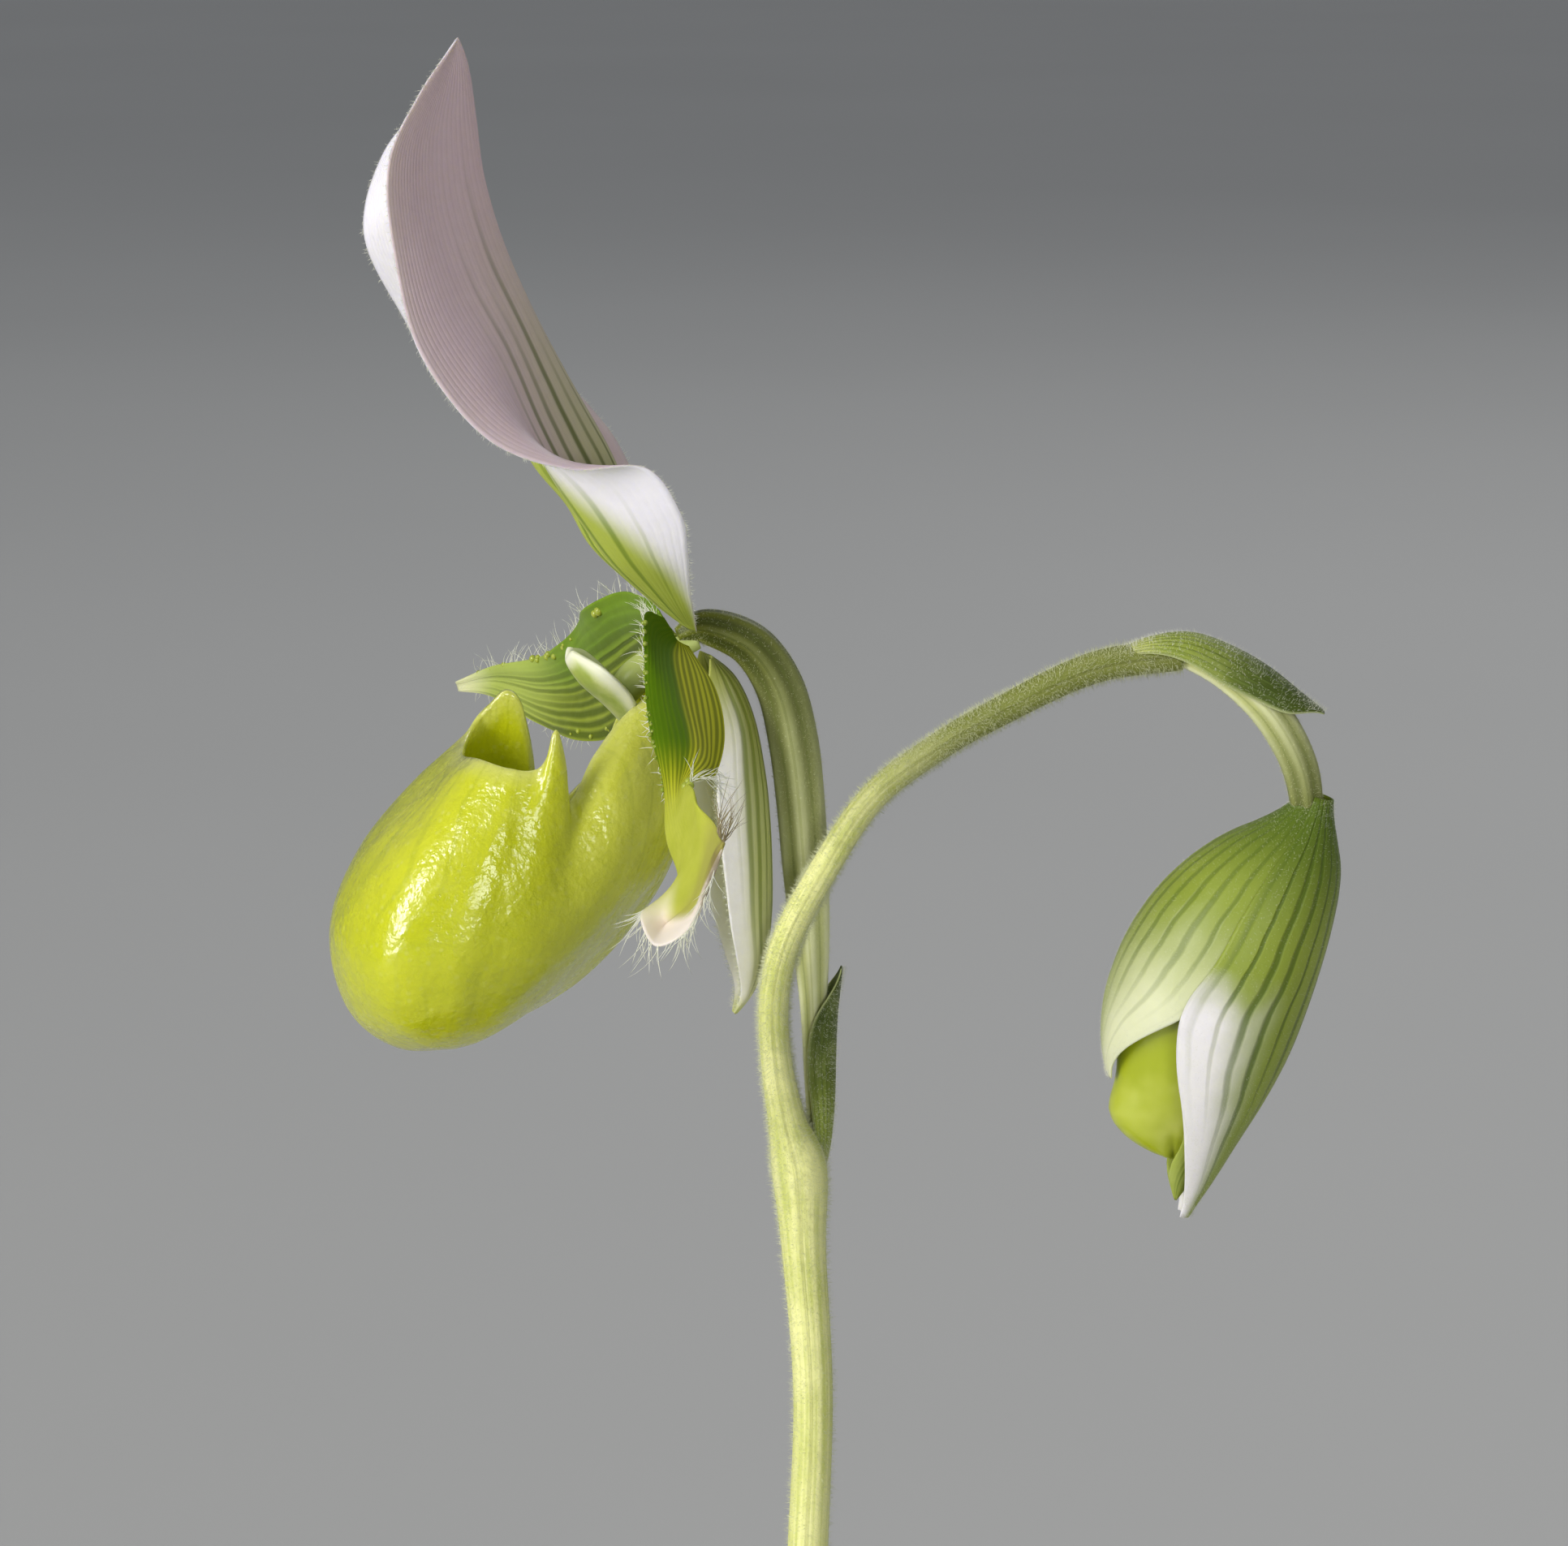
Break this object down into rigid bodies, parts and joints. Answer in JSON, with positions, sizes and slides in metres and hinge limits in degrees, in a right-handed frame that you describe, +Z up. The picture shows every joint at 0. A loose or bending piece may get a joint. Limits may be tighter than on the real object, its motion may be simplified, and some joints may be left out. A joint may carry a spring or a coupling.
{
  "type": "potted slipper orchid",
  "caption": "Slipper orchid in a plain round clay pot of bark: a fan of mottled strap leaves and one upright stem with an open green and white flower and a nodding bud.",
  "frame": {"origin": "centre of the pot's flat underside, on the surface that it stands on", "axes": "+Z up; the open flower faces -X and the viewer of the picture looks along +Y"},
  "size_m": [0.2113, 0.11, 0.3725],
  "materials": {
    "clay": "matte",
    "bark_mix": "matte",
    "shoot": "matte",
    "leaf": "satin",
    "stem": "matte",
    "bract": "matte",
    "ovary": "satin",
    "sepal": "satin",
    "petal": "satin",
    "lip": "gloss",
    "column": "satin",
    "bud_sepal": "satin"
  },
  "bodies": {
    "root": {"pot": "clay", "medium": "bark_mix", "crown": "shoot", "leaf_1": "leaf", "leaf_2": "leaf", "leaf_3": "leaf", "leaf_4": "leaf", "leaf_5": "leaf", "leaf_6": "leaf", "scape": "stem", "bract_1": "bract", "bract_2": "bract", "ovary_1": "ovary", "ovary_2": "ovary", "dorsal_sepal": "sepal", "synsepalum": "sepal", "petal_left": "petal", "petal_right": "petal", "lip": "lip", "column": "column", "bud_dorsal_sepal": "bud_sepal", "bud_synsepalum": "bud_sepal", "bud_petal_left": "petal", "bud_petal_right": "petal", "bud_lip": "lip"}
  },
  "joints": []
}
